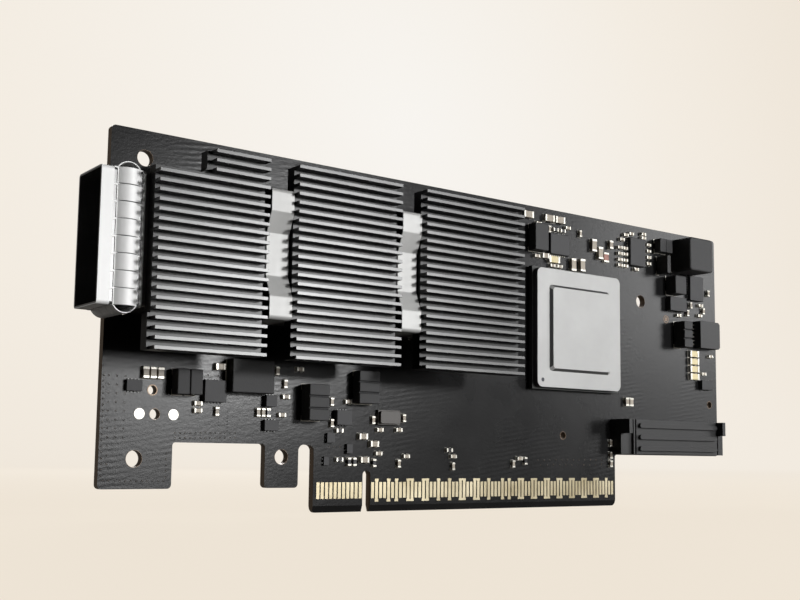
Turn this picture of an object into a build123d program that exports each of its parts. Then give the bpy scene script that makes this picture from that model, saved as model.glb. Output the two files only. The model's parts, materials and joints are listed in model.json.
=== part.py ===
from build123d import *
import os

# A low-profile network adapter card: a circuit board with a sixteen-lane card edge,
# one pluggable-transceiver cage with a finned heat sink clipped over it, the main
# chip under its metal lid, and the small parts around them.
# Frame: X along the card, Z up, Y through the board, components on the -Y face.
# Origin: the centre line of the key notch, at the tongue's bottom edge, mid-thickness.

# Board outline
board_thickness = 1.57
key_to_left_end = 56.05
key_to_right_end = 111.6
board_height = 68.9
key_to_tongue_left = 12.6
key_to_tongue_right = 72.6
leg_bottom = 4.85
leg_notch_top = 13.1
first_leg_width = 13.65
second_leg_width = 7.35
slot_width = 3.5
right_shelf = 12.05
outer_corner_radius = 0.8
notch_corner_radius = 0.6
slot_corner_radius = 1.2
key_width = 1.9
key_height = 8.2
bevel_height = 1.3
bevel_depth = 0.45

# Edge contacts
contact_pitch = 1.0
contacts_before_key = 11
contacts_after_key = 71
contact_to_key = 0.55
contact_width = 0.7
contact_bottom = 2.65
contact_length = 3.2
contact_thickness = 0.05
ground_reach = 0.7
ground_bar_width = 0.9
ground_bar_height = 0.45
ground_pairs = [21, 25, 35, 39, 52, 56, 60, 64, 68, 72, 76]
ground_singles = [13, 16, 18, 29, 32, 43, 47, 49, 80]

# Round holes through the board
bracket_hole_diameter = 3.05
bracket_hole_from_end = 6.45
bracket_hole_low = 10.1
bracket_hole_spacing = 53.7
leg_hole_diameter = 2.9
leg_hole_at = (-19.9, 10.7)
cooler_hole_diameter = 3.2
cooler_hole_offset = (24.3, 9.4)
tooling_hole_diameter = 2.0
tooling_hole_at = (-46.0, 18.0)
small_hole_diameter = 1.7
small_holes_at = [(-46.6, 22.25), (108.6, 25.3), (55.2, 16.3)]
target_disc_diameter = 1.95
target_disc_height = 0.12
target_disc_before = 2.95
target_disc_after = 3.55

# Transceiver cage, standing on the board's front face with its mouth to the left
cage_overhang = 5.4
cage_length = 90.95
cage_low = 35.55
cage_width = 23.1
cage_height = 9.9
cage_sheet = 0.25
cage_bend = 0.5
window_from_mouth = 16.5
window_length = 36.5
window_width = 17.6
leg_count = 7
first_leg_from_mouth = 9.0
cage_leg_pitch = 12.6
cage_leg_width = 0.8
cage_leg_tip = 0.6
leg_hole_clearance = 0.12
hook_width = 2.0
hook_length = 1.0
hook_at_height = 5.4
hook_reach = 0.45

# Spring fingers round the cage's mouth
lip_length = 2.2
gasket_sheet = 0.15
tie_length = 0.55
tie_width = 0.22
finger_foot = 0.2
finger_length = 3.95
face_finger_bulge = 0.75
finger_bulge = 1.25
finger_gap = 0.16
fingers_wide = 8
fingers_deep = 3
rear_gap = 0.45
rear_strip = 0.5
gasket_board_clearance = 0.3
short_finger_bulge = 0.6

# Connector inside the cage
port_connector_length = 21.0
port_connector_width = 20.6
port_connector_height = 8.2
port_connector_gap = 0.4
port_slot_height = 1.5
port_slot_depth = 8.0
port_slot_width = 17.4
port_slot_at_height = 4.6
port_contact_count = 19
port_contact_pitch = 0.8
port_contact_width = 0.36
port_contact_thickness = 0.2
port_contact_depth = 6.5
port_floor_clearance = 0.5

# Heat sink on the cage
sink_from_mouth = 7.95
sink_length = 83.4
sink_below_cage = 7.35
sink_base = 2.3
sink_relief = 0.55
sink_relief_margin = 1.15
fin_count = 22
fin_pitch = 1.664
fin_thickness = 0.6
fin_height = 2.1
step_length = 10.1
step_fins = 3
step_radius = 1.2
step_shoulder = 0.1
fin_from_step = 0.8
channel_web = 1.1
channel_width = 6.0
channel_from_left = (24.72, 54.18)
channel_side_gap = 0.25
pedestal_height = 0.6
pedestal_clearance = 0.5

# Clips across the heat sink
clip_width = 4.65
clip_sheet = 0.3
clip_offset = 0.45
clip_arm_rise = 1.6
clip_seat_length = 7.9
clip_slope = 3.85
clip_bend_radius = 0.6
clip_cage_gap = 0.1
clip_foot_height = 3.4
clip_window_clearance = 0.2

# Main chip and its lid
chip_x = 58.05
chip_z = 40.65
ball_height = 0.4
ball_diameter = 0.75
ball_pitch = 2.2
ball_count = 12
substrate_side = 28.1
substrate_height = 1.2
lid_margin = 0.45
lid_flange_height = 1.3
lid_corner_radius = 1.4
lid_rim = 2.8
plateau_side = 19.8
plateau_rise = 0.7
plateau_bevel = 0.6
plateau_radius = 0.8
die_side = 15.0
die_height = 0.85
thermal_layer = 0.05
lid_mark_diameter = 0.9
lid_mark_depth = 0.12
lid_mark_inset = 1.6

# Auxiliary cable connector on the right shelf, its mouth downwards
aux_left = 71.3
aux_length = 38.3
aux_above_shelf = 0.2
aux_left_ear_length = 3.7
aux_right_ear_length = 2.3
aux_ear_height = 3.2
aux_body_depth = 8.3
aux_body_height = 3.9
aux_rib_inset = 0.9
aux_rib_width = 1.1
aux_rib_height = 0.7
aux_rib_pitch = 2.75
aux_rib_count = 3
aux_first_rib = 1.35
aux_line_width = 0.45
aux_line_depth = 0.5
aux_line_inset = 0.7
aux_post_length = 1.1
aux_post_depth = 3.4
aux_post_height = 5.9
aux_mouth_height = 2.4
aux_mouth_depth = 6.0
aux_mouth_wall = 1.0
aux_mouth_at_height = 1.8
aux_tongue_height = 0.8
aux_tongue_margin = 0.8
aux_contact_count = 34
aux_contact_pitch = 0.8
aux_contact_width = 0.36
aux_contact_length = 4.5
aux_contact_thickness = 0.15

# Side connector near the right edge, its mouth to the right
side_connector_x = 106.6
side_connector_z = 43.2
side_connector_length = 7.8
side_connector_width = 7.0
side_connector_height = 2.3
side_wall = 0.45
side_corner = 0.55
side_mouth_depth = 5.0
side_contact_count = 6
side_contact_pitch = 1.0
side_contact_width = 0.35
side_contact_thickness = 0.2
side_contact_reach = 0.5

# Ferrite power parts: centre X, centre Z, length, depth, height
corner_inductor_place = (98.1, 62.75, 8.9, 8.5, 6.65)
corner_inductor_radius = 0.9
power_inductors = [
    (-41.9, 23.9, 2.4, 4.6, 2.85),
    (-39.35, 23.9, 2.4, 4.6, 2.85),
    (-27.7, 25.55, 8.8, 6.2, 2.7),
    (46.1, 61.4, 4.1, 6.2, 2.75),
    (93.75, 55.0, 4.1, 4.6, 3.5),
    (88.9, 59.75, 1.3, 4.5, 3.8),
    (88.55, 64.7, 2.3, 3.4, 2.35),
    (90.9, 64.7, 2.3, 3.4, 2.35),
]
three_cell_inductors = [
    (-13.6, 21.25, 4.55, 7.0, 3.45),
    (-1.4, 24.7, 4.95, 6.5, 2.8),
    (96.1, 42.65, 3.1, 6.6, 3.8),
]
inductor_edge_radius = 0.25
inductor_foot_height = 0.25
inductor_foot_width = 0.9
cells_each = 3
cell_groove_width = 0.3
cell_groove_depth = 0.35

# Moulded chips: centre X, centre Z, length, depth, height
flash_memory_place = (53.45, 60.7, 6.1, 4.95, 1.1)
controller_place = (80.35, 62.1, 5.5, 7.0, 1.2)
oscillator_place = (4.9, 18.9, 5.5, 3.05, 1.35)
oscillator_base_height = 0.75
oscillator_lid_inset = 0.25
oscillator_lid_radius = 0.4
small_chip_places = [
    (-50.3, 22.9, 2.9, 2.0, 0.85),
    (-34.7, 22.55, 4.4, 4.0, 1.2),
    (-22.9, 21.2, 2.3, 2.15, 1.2),
    (-22.65, 16.6, 3.0, 2.0, 0.9),
    (-6.4, 18.55, 3.5, 2.9, 1.4),
    (-9.05, 14.5, 1.9, 1.9, 0.7),
    (-4.6, 12.45, 1.4, 1.9, 0.7),
    (-10.0, 10.0, 1.15, 1.7, 0.55),
    (103.0, 55.2, 5.2, 6.3, 1.05),
    (95.0, 50.4, 6.2, 3.5, 1.6),
    (106.6, 30.3, 4.4, 2.4, 1.2),
]
package_bevel = 0.12
lead_pitch = 0.65
lead_width = 0.28
lead_reach = 0.22
lead_thickness = 0.2

# Chip capacitors and resistors: length, width, height, terminal length
small_size = (1.6, 0.8, 0.7, 0.38)
middle_size = (2.05, 1.2, 0.9, 0.48)
large_size = (3.0, 1.6, 0.95, 0.55)
tantalum_size = (3.4, 1.65, 0.9, 0.6)
fuse_size = (2.4, 1.7, 0.65, 0.5)
body_inset = 0.05

# Their centres (X, Z); level ones lie along X, upright ones along Z
small_level = [
    (-37.85, 20.2), (-37.85, 18.9), (-20.2, 18.65), (-19.4, 22.15), (-16.4, 27.6),
    (-5.0, 21.75), (2.8, 16.35), (7.6, 16.45), (9.6, 11.1), (22.1, 11.2),
    (41.2, 10.9), (47.1, 65.0), (56.6, 65.1), (46.6, 57.3), (51.5, 55.6),
    (53.8, 55.6), (75.3, 64.8), (76.7, 66.1), (78.7, 66.6), (83.2, 66.1),
    (83.2, 67.1), (74.5, 58.3), (74.5, 59.7), (74.5, 61.2), (74.5, 62.7), (76.45, 58.3),
    (76.45, 59.7), (76.45, 61.2), (76.45, 62.7), (85.05, 59.8), (85.05, 61.4), (85.05, 63.0),
    (85.05, 64.6), (80.4, 57.9), (96.3, 47.7), (108.9, 37.9), (106.0, 33.2), (2.6, 11.6),
    (105.1, 51.0), (104.7, 48.3),
]
small_upright = [
    (-34.0, 18.9), (-25.4, 19.0), (-24.3, 19.0), (-19.6, 24.6), (-8.9, 21.6),
    (-8.8, 17.4), (1.15, 18.3), (8.9, 18.9), (7.7, 9.6), (22.1, 9.1),
    (39.35, 9.7), (50.6, 64.1), (60.8, 64.3), (70.8, 14.8), (70.8, 11.9), (70.8, 9.9),
    (99.9, 48.6), (101.2, 50.7), (108.3, 54.5), (-21.4, 27.0), (97.0, 55.6), (106.2, 49.6),
]
small_resistors_level = [
    (-7.0, 16.0), (-6.9, 10.3), (21.0, 12.5), (52.6, 64.2), (54.9, 64.2),
]
small_resistors_upright = [
    (-23.2, 19.0), (-4.6, 9.9), (-3.3, 9.9), (1.5, 9.7), (43.0, 10.4),
]
middle_level = [(-33.6, 27.1), (-1.4, 14.95), (1.35, 13.5), (-1.0, 10.3), (49.1, 57.6)]
middle_upright = [
    (-48.2, 25.3), (-46.8, 25.3), (-45.4, 25.3), (76.4, 24.85), (77.9, 24.85),
    (71.2, 62.9),
]
large_level = [(43.7, 66.6), (50.4, 66.6), (53.8, 66.6)]
large_upright = [(58.2, 56.5), (61.2, 56.7), (65.2, 62.0), (67.4, 60.4)]
tantalums_level = [(51.9, 57.05)]
tantalum_column_x = 102.0
tantalum_column_low = 32.3
tantalum_column_pitch = 1.95
tantalum_column_count = 4
fuse_at = (69.6, 59.6)

# Back of the board: parts behind the main chip and over the card edge
back_columns = 7
back_rows = 6
back_column_pitch = 3.4
back_row_pitch = 3.6
lane_capacitor_count = 16
lane_capacitor_pitch = 4.0
lane_capacitor_from_key = 6.0
lane_capacitor_level = 10.6
back_chip_places = [
    (92.0, 58.0, 6.0, 5.0, 1.1),
    (-30.0, 22.0, 4.0, 4.0, 0.9),
    (28.0, 22.0, 5.0, 4.0, 0.9),
]

os.makedirs("parts", exist_ok=True)

# Places worked out from the sizes above
half_board = board_thickness / 2
board_left = -key_to_left_end
tongue_left = -key_to_tongue_left
slot_left = tongue_left - slot_width
second_leg_left = slot_left - second_leg_width
first_leg_right = board_left + first_leg_width
bracket_hole_x = board_left + bracket_hole_from_end
bracket_holes_at = [(bracket_hole_x, bracket_hole_low + step * bracket_hole_spacing) for step in (0, 1)]
cooler_holes_at = [(chip_x + side * cooler_hole_offset[0], chip_z + side * cooler_hole_offset[1])
                   for side in (-1, 1)]
target_discs_at = [(tooling_hole_at[0] - target_disc_before, tooling_hole_at[1]),
                   (tooling_hole_at[0] + target_disc_after, tooling_hole_at[1])]
cage_front = board_left - cage_overhang
cage_back = cage_front + cage_length
cage_high = cage_low + cage_width
cage_middle = cage_low + cage_width / 2
sink_left = cage_front + sink_from_mouth
sink_right = sink_left + sink_length
sink_low = cage_low - sink_below_cage
sink_high = sink_low + (fin_count - 1) * fin_pitch + fin_thickness
sink_face = cage_height + sink_base
channel_centres = [sink_left + distance for distance in channel_from_left]
channel_level = cage_height + channel_web
clip_centres = [centre + clip_offset for centre in channel_centres]
substrate_top = ball_height + substrate_height
die_top = substrate_top + die_height
lid_top = substrate_top + lid_flange_height
aux_low = right_shelf + aux_above_shelf


def front(height=0.0):
    """Plane over the component side: its x is X, its y is Z."""
    return Plane(origin=(0, -half_board - height, 0), x_dir=(1, 0, 0), z_dir=(0, -1, 0))


def back(height=0.0):
    """Plane behind the board: its x is -X, its y is Z."""
    return Plane(origin=(0, half_board + height, 0), x_dir=(-1, 0, 0), z_dir=(0, 1, 0))


def across(x):
    """Plane at one X, facing +X: its x is Z, its y is the height over the board."""
    return Plane(origin=(x, -half_board, 0), x_dir=(0, 0, 1), z_dir=(1, 0, 0))


def along(z):
    """Plane at one Z, facing -Z: its x is X, its y is the height over the board."""
    return Plane(origin=(0, -half_board, z), x_dir=(1, 0, 0), z_dir=(0, 0, -1))


def spread(count, pitch, centre=0.0):
    return [centre + (step - (count - 1) / 2) * pitch for step in range(count)]


def slab(plane, x_low, x_high, y_low, y_high, amount, mode=Mode.ADD):
    """Add or cut a plain block from a rectangle given by its four sides."""
    with BuildSketch(plane) as profile:
        with Locations(((x_low + x_high) / 2, (y_low + y_high) / 2)):
            Rectangle(x_high - x_low, y_high - y_low)
    extrude(profile.sketch, amount=amount, mode=mode)


# Circuit board
cage_leg_stations = [cage_front + first_leg_from_mouth + step * cage_leg_pitch for step in range(leg_count)]
cage_leg_levels = (cage_low + cage_sheet / 2, cage_high - cage_sheet / 2)
leg_holes_at = [(x, z) for x in cage_leg_stations for z in cage_leg_levels]
leg_hole_radius = (cage_leg_width**2 + cage_sheet**2) ** 0.5 / 2 + leg_hole_clearance

outline_points = [
    (board_left, board_height),
    (key_to_right_end, board_height),
    (key_to_right_end, right_shelf),
    (key_to_tongue_right, right_shelf),
    (key_to_tongue_right, 0),
    (tongue_left, 0),
    (tongue_left, leg_notch_top),
    (slot_left, leg_notch_top),
    (slot_left, leg_bottom),
    (second_leg_left, leg_bottom),
    (second_leg_left, leg_notch_top),
    (first_leg_right, leg_notch_top),
    (first_leg_right, leg_bottom),
    (board_left, leg_bottom),
]
outline_radii = [outer_corner_radius] * 3 + [notch_corner_radius] + [outer_corner_radius] * 2
outline_radii += [slot_corner_radius] * 2 + [outer_corner_radius] * 2
outline_radii += [notch_corner_radius] * 2 + [outer_corner_radius] * 2

with BuildPart() as board:
    with BuildSketch(front(-board_thickness)):
        with BuildLine():
            FilletPolyline(*outline_points, radius=outline_radii, close=True)
        make_face()
        with Locations((0, (key_height - key_width / 2) / 2)):
            Rectangle(key_width, key_height - key_width / 2, mode=Mode.SUBTRACT)
        with Locations((0, key_height - key_width / 2)):
            Circle(key_width / 2, mode=Mode.SUBTRACT)
        with Locations(*bracket_holes_at):
            Circle(bracket_hole_diameter / 2, mode=Mode.SUBTRACT)
        with Locations(leg_hole_at):
            Circle(leg_hole_diameter / 2, mode=Mode.SUBTRACT)
        with Locations(*cooler_holes_at):
            Circle(cooler_hole_diameter / 2, mode=Mode.SUBTRACT)
        with Locations(tooling_hole_at):
            Circle(tooling_hole_diameter / 2, mode=Mode.SUBTRACT)
        with Locations(*small_holes_at):
            Circle(small_hole_diameter / 2, mode=Mode.SUBTRACT)
        with Locations(*leg_holes_at):
            Circle(leg_hole_radius, mode=Mode.SUBTRACT)
    extrude(amount=board_thickness)
    for side in (-1, 1):
        with BuildSketch(Plane.YZ.offset(tongue_left)):
            with BuildLine():
                Polyline(
                    (side * half_board, bevel_height),
                    (side * half_board, 0),
                    (side * (half_board - bevel_depth), 0),
                    close=True,
                )
            make_face()
        extrude(amount=key_to_tongue_left + key_to_tongue_right, mode=Mode.SUBTRACT)
board.part.label = "board"
export_step(board.part, "parts/board.step")


# Gold contacts on both faces of the tongue
def contact_x(number):
    beyond_key = number - contacts_before_key
    if beyond_key <= 0:
        return -key_width / 2 - contact_to_key + beyond_key * contact_pitch
    return key_width / 2 + contact_to_key + (beyond_key - 1) * contact_pitch


def lay_contacts(plane, mirror_x):
    """All contacts of one face; ground contacts are longer, and ground pairs are joined."""
    level = contact_bottom + contact_length / 2
    numbers = range(1, contacts_before_key + contacts_after_key + 1)
    bar_levels = (contact_bottom - ground_reach, contact_bottom + contact_length + ground_reach)
    with BuildSketch(plane) as pattern:
        with Locations(*[(mirror_x * contact_x(number), level) for number in numbers]):
            Rectangle(contact_width, contact_length)
        grounds = ground_singles + ground_pairs + [number + 1 for number in ground_pairs]
        with Locations(*[(mirror_x * contact_x(number), level) for number in grounds]):
            Rectangle(contact_width, contact_length + 2 * ground_reach)
        for side, bar_level in zip((1, -1), bar_levels):
            bar_middle = bar_level + side * ground_bar_height / 2
            with Locations(*[(mirror_x * contact_x(number), bar_middle) for number in ground_singles]):
                Rectangle(ground_bar_width, ground_bar_height)
            pair_places = [(mirror_x * (contact_x(number) + contact_x(number + 1)) / 2, bar_middle)
                           for number in ground_pairs]
            with Locations(*pair_places):
                Rectangle(contact_pitch + ground_bar_width, ground_bar_height)
    extrude(pattern.sketch, amount=contact_thickness)


with BuildPart() as edge_contacts_front:
    lay_contacts(front(), 1)
edge_contacts_front.part.label = "edge_contacts_front"
export_step(edge_contacts_front.part, "parts/edge_contacts_front.step")

with BuildPart() as edge_contacts_back:
    lay_contacts(back(), -1)
edge_contacts_back.part.label = "edge_contacts_back"
export_step(edge_contacts_back.part, "parts/edge_contacts_back.step")

with BuildPart() as target_discs:
    with BuildSketch(front()):
        with Locations(*target_discs_at):
            Circle(target_disc_diameter / 2)
    extrude(amount=target_disc_height)
target_discs.part.label = "target_discs"
export_step(target_discs.part, "parts/target_discs.step")

# Transceiver cage, folded from one sheet
connector_right = cage_back - cage_sheet - port_connector_gap
connector_left = connector_right - port_connector_length
window_left = cage_front + window_from_mouth

with BuildPart() as port_cage:
    with BuildSketch(across(cage_front)):
        with Locations((cage_middle, cage_height / 2)):
            RectangleRounded(cage_width, cage_height, cage_bend)
    extrude(amount=cage_length)
    with BuildSketch(across(cage_front)):
        with Locations((cage_middle, cage_height / 2)):
            RectangleRounded(cage_width - 2 * cage_sheet, cage_height - 2 * cage_sheet, cage_bend - cage_sheet)
    extrude(amount=cage_length - cage_sheet, mode=Mode.SUBTRACT)
    slab(front(cage_height - 2 * cage_sheet), window_left, window_left + window_length,
         cage_middle - window_width / 2, cage_middle + window_width / 2, 3 * cage_sheet, Mode.SUBTRACT)
    slab(front(-cage_sheet), connector_left - port_floor_clearance, connector_right + port_floor_clearance / 2,
         cage_middle - port_connector_width / 2 - port_floor_clearance,
         cage_middle + port_connector_width / 2 + port_floor_clearance, 3 * cage_sheet, Mode.SUBTRACT)
    with BuildSketch(front(cage_bend)):
        with Locations(*leg_holes_at):
            Rectangle(cage_leg_width, cage_sheet)
    extrude(amount=-(cage_bend + board_thickness + cage_leg_tip))
    for level, outward in ((cage_low, -1), (cage_high, 1)):
        for centre in clip_centres:
            inner = level - outward * cage_sheet / 2
            outer = level + outward * hook_reach
            slab(front(hook_at_height - hook_length / 2), centre - hook_width / 2, centre + hook_width / 2,
                 min(inner, outer), max(inner, outer), hook_length)
port_cage.part.label = "port_cage"
export_step(port_cage.part, "parts/port_cage.step")

# Spring-finger gasket wrapped round the cage's mouth
lip_end = cage_front + lip_length
finger_start = lip_end + tie_length
finger_end = finger_start + finger_foot + finger_length
strip_start = finger_end + rear_gap
strip_end = strip_start + rear_strip
short_finger_end = board_left - gasket_board_clearance
wide_pitch = (cage_width + 2 * gasket_sheet) / fingers_wide
deep_pitch = cage_height / fingers_deep
wide_finger = wide_pitch - finger_gap
deep_finger = deep_pitch - finger_gap
foot_end = finger_start + finger_foot
tail_start = finger_end - finger_foot
gasket_height = cage_height + gasket_sheet
wide_levels = spread(fingers_wide, wide_pitch, cage_middle)
deep_levels = spread(fingers_deep, deep_pitch, cage_height / 2)


def finger(plane, start, end, surface, bulge, width):
    """One sprung finger: a short foot, then an arch, cut from the strip's sheet."""
    sheet = gasket_sheet / 2 * (1 if bulge > 0 else -1)
    arch_start = start + finger_foot
    with BuildSketch(plane) as profile:
        with BuildLine():
            Line((start, surface + sheet), (arch_start, surface + sheet))
            ThreePointArc(
                (arch_start, surface + sheet),
                ((arch_start + end) / 2, surface + bulge),
                (end, surface + sheet),
            )
        trace(line_width=gasket_sheet)
    extrude(profile.sketch, amount=width)


def ring(x_low, x_high):
    """A band of sheet round the outside of the cage."""
    with BuildSketch(across(x_low)) as band:
        with Locations((cage_middle, cage_height / 2)):
            RectangleRounded(cage_width + 2 * gasket_sheet, cage_height + 2 * gasket_sheet,
                             cage_bend + gasket_sheet)
            RectangleRounded(cage_width, cage_height, cage_bend, mode=Mode.SUBTRACT)
    extrude(band.sketch, amount=x_high - x_low)


with BuildPart() as port_gasket:
    ring(cage_front, lip_end)
    ring(strip_start, strip_end)
    slab(front(-2 * gasket_sheet), short_finger_end, strip_end + gasket_sheet,
         cage_low - cage_bend, cage_high + cage_bend, 2 * gasket_sheet, Mode.SUBTRACT)
    for level in wide_levels:
        top = level + wide_finger / 2
        finger(along(top), finger_start, finger_end, cage_height, face_finger_bulge, wide_finger)
        finger(along(top), finger_start, short_finger_end, 0, -short_finger_bulge, wide_finger)
        slab(along(top), lip_end, foot_end, cage_height, gasket_height, tie_width)
        slab(along(top), tail_start, strip_start, cage_height, gasket_height, tie_width)
        slab(along(top), lip_end, foot_end, -gasket_sheet, 0, tie_width)
    for level in deep_levels:
        base = level - deep_finger / 2
        finger(front(base), finger_start, finger_end, cage_high, finger_bulge, deep_finger)
        finger(front(base), finger_start, finger_end, cage_low, -finger_bulge, deep_finger)
        for edge in (cage_high, cage_low - gasket_sheet):
            slab(front(base), lip_end, foot_end, edge, edge + gasket_sheet, tie_width)
            slab(front(base), tail_start, strip_start, edge, edge + gasket_sheet, tie_width)
port_gasket.part.label = "port_gasket"
export_step(port_gasket.part, "parts/port_gasket.step")

# Connector standing on the board inside the cage's far end
slot_low = port_slot_at_height - port_slot_height / 2
slot_high = port_slot_at_height + port_slot_height / 2

with BuildPart() as port_connector_housing:
    slab(front(), connector_left, connector_right, cage_middle - port_connector_width / 2,
         cage_middle + port_connector_width / 2, port_connector_height)
    slab(front(slot_low), connector_left, connector_left + port_slot_depth,
         cage_middle - port_slot_width / 2, cage_middle + port_slot_width / 2, port_slot_height, Mode.SUBTRACT)
port_connector_housing.part.label = "port_connector_housing"
export_step(port_connector_housing.part, "parts/port_connector_housing.step")

with BuildPart() as port_connector_contacts:
    contact_middle = connector_left + port_slot_depth - port_contact_depth / 2
    contact_levels = spread(port_contact_count, port_contact_pitch, cage_middle)
    for level in (slot_low, slot_high - port_contact_thickness):
        with BuildSketch(front(level)):
            with Locations(*[(contact_middle, z) for z in contact_levels]):
                Rectangle(port_contact_depth, port_contact_width)
        extrude(amount=port_contact_thickness)
port_connector_contacts.part.label = "port_connector_contacts"
export_step(port_connector_contacts.part, "parts/port_connector_contacts.step")

# Heat sink, base and fins in one piece
fin_levels = [sink_low + fin_thickness / 2 + step * fin_pitch for step in range(fin_count)]
step_level = fin_levels[-step_fins] - fin_thickness / 2 - step_shoulder
step_x = sink_left + step_length
fin_start = sink_left + sink_relief

with BuildPart() as heat_sink:
    with BuildSketch(front(cage_height)):
        with BuildLine():
            FilletPolyline(
                (sink_left, sink_low),
                (sink_left, step_level),
                (step_x, step_level),
                (step_x, sink_high),
                (sink_right, sink_high),
                (sink_right, sink_low),
                radius=[0, 0, step_radius, 0, 0, 0],
                close=True,
            )
        make_face()
    extrude(amount=sink_base)
    for number, level in enumerate(fin_levels):
        start = fin_start if number < fin_count - step_fins else step_x + fin_from_step
        slab(front(sink_face), start, sink_right, level - fin_thickness / 2, level + fin_thickness / 2,
             fin_height)
    slab(front(cage_height), sink_left, fin_start, cage_low - sink_relief_margin,
         cage_high + sink_relief_margin, sink_base, Mode.SUBTRACT)
    for centre in channel_centres:
        left = centre - channel_width / 2
        right = centre + channel_width / 2
        slab(front(channel_level), left, right, sink_low, sink_high, sink_base + fin_height, Mode.SUBTRACT)
        slab(front(cage_height), left, right, sink_low, cage_low + channel_side_gap, sink_base, Mode.SUBTRACT)
        slab(front(cage_height), left, right, cage_high - channel_side_gap, sink_high, sink_base, Mode.SUBTRACT)
    slab(front(cage_height - pedestal_height), window_left + pedestal_clearance,
         window_left + window_length - pedestal_clearance,
         cage_middle - window_width / 2 + pedestal_clearance,
         cage_middle + window_width / 2 - pedestal_clearance, pedestal_height)
heat_sink.part.label = "heat_sink"
export_step(heat_sink.part, "parts/heat_sink.step")

# Two spring clips, bent from strip, that hook under the cage's tabs
arm_level = channel_level + clip_arm_rise + clip_sheet / 2
seat_level = channel_level + clip_sheet / 2
leg_offset = cage_width / 2 + clip_cage_gap + clip_sheet / 2
slope_offset = clip_seat_length / 2 + clip_slope
clip_points = [
    (cage_middle - leg_offset, clip_foot_height),
    (cage_middle - leg_offset, arm_level),
    (cage_middle - slope_offset, arm_level),
    (cage_middle - clip_seat_length / 2, seat_level),
    (cage_middle + clip_seat_length / 2, seat_level),
    (cage_middle + slope_offset, arm_level),
    (cage_middle + leg_offset, arm_level),
    (cage_middle + leg_offset, clip_foot_height),
]
for clip_name, clip_centre in zip(("sink_clip_near_port", "sink_clip_near_chip"), clip_centres):
    with BuildPart() as sink_clip:
        with BuildSketch(across(clip_centre - clip_width / 2)):
            with BuildLine():
                FilletPolyline(*clip_points, radius=clip_bend_radius)
            trace(line_width=clip_sheet)
        extrude(amount=clip_width)
        window_half = hook_width / 2 + clip_window_clearance
        window_low = hook_at_height - hook_length / 2
        for side_level in (cage_middle - leg_offset, cage_middle + leg_offset):
            slab(along(side_level + clip_sheet), clip_centre - window_half, clip_centre + window_half,
                 window_low, window_low + hook_length + clip_window_clearance, 2 * clip_sheet, Mode.SUBTRACT)
    sink_clip.part.label = clip_name
    export_step(sink_clip.part, "parts/" + clip_name + ".step")

# Main chip: solder balls, substrate, die, thermal layer, lid
ball_spread = [(chip_x + dx, chip_z + dz) for dx in spread(ball_count, ball_pitch)
               for dz in spread(ball_count, ball_pitch)]
lid_side = substrate_side - 2 * lid_margin

with BuildPart() as chip_solder_balls:
    with BuildSketch(front()):
        with Locations(*ball_spread):
            Circle(ball_diameter / 2)
    extrude(amount=ball_height)
chip_solder_balls.part.label = "chip_solder_balls"
export_step(chip_solder_balls.part, "parts/chip_solder_balls.step")

with BuildPart() as chip_substrate:
    with BuildSketch(front(ball_height)):
        with Locations((chip_x, chip_z)):
            Rectangle(substrate_side, substrate_side)
    extrude(amount=substrate_height)
chip_substrate.part.label = "chip_substrate"
export_step(chip_substrate.part, "parts/chip_substrate.step")

with BuildPart() as chip_die:
    with BuildSketch(front(substrate_top)):
        with Locations((chip_x, chip_z)):
            Rectangle(die_side, die_side)
    extrude(amount=die_height)
chip_die.part.label = "chip_die"
export_step(chip_die.part, "parts/chip_die.step")

with BuildPart() as chip_thermal_layer:
    with BuildSketch(front(die_top)):
        with Locations((chip_x, chip_z)):
            Rectangle(die_side, die_side)
    extrude(amount=thermal_layer)
chip_thermal_layer.part.label = "chip_thermal_layer"
export_step(chip_thermal_layer.part, "parts/chip_thermal_layer.step")

with BuildPart() as chip_lid:
    with BuildSketch(front(substrate_top)):
        with Locations((chip_x, chip_z)):
            RectangleRounded(lid_side, lid_side, lid_corner_radius)
    extrude(amount=lid_flange_height)
    with BuildSketch(front(lid_top)):
        with Locations((chip_x, chip_z)):
            RectangleRounded(plateau_side, plateau_side, plateau_radius)
    with BuildSketch(front(lid_top + plateau_rise)):
        with Locations((chip_x, chip_z)):
            RectangleRounded(plateau_side - 2 * plateau_bevel, plateau_side - 2 * plateau_bevel,
                             plateau_radius)
    loft()
    with BuildSketch(front(substrate_top)):
        with Locations((chip_x, chip_z)):
            Rectangle(lid_side - 2 * lid_rim, lid_side - 2 * lid_rim)
    extrude(amount=die_height + thermal_layer, mode=Mode.SUBTRACT)
    mark_offset = lid_side / 2 - lid_mark_inset
    with BuildSketch(front(lid_top - lid_mark_depth)):
        with Locations((chip_x - mark_offset, chip_z - mark_offset)):
            Circle(lid_mark_diameter / 2)
    extrude(amount=2 * lid_mark_depth, mode=Mode.SUBTRACT)
chip_lid.part.label = "chip_lid"
export_step(chip_lid.part, "parts/chip_lid.step")

# Auxiliary cable connector
aux_right = aux_left + aux_length
aux_high = aux_low + aux_body_depth
aux_body_left = aux_left + aux_left_ear_length
aux_body_right = aux_right - aux_right_ear_length
aux_middle = (aux_body_left + aux_body_right) / 2
aux_ribs_at = [aux_low + aux_first_rib + step * aux_rib_pitch for step in range(aux_rib_count)]
aux_rib_length = aux_body_right - aux_body_left - 2 * (aux_line_inset + aux_rib_inset)
aux_tongue_low = aux_mouth_at_height - aux_tongue_height / 2
aux_tongue_high = aux_mouth_at_height + aux_tongue_height / 2

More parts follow.
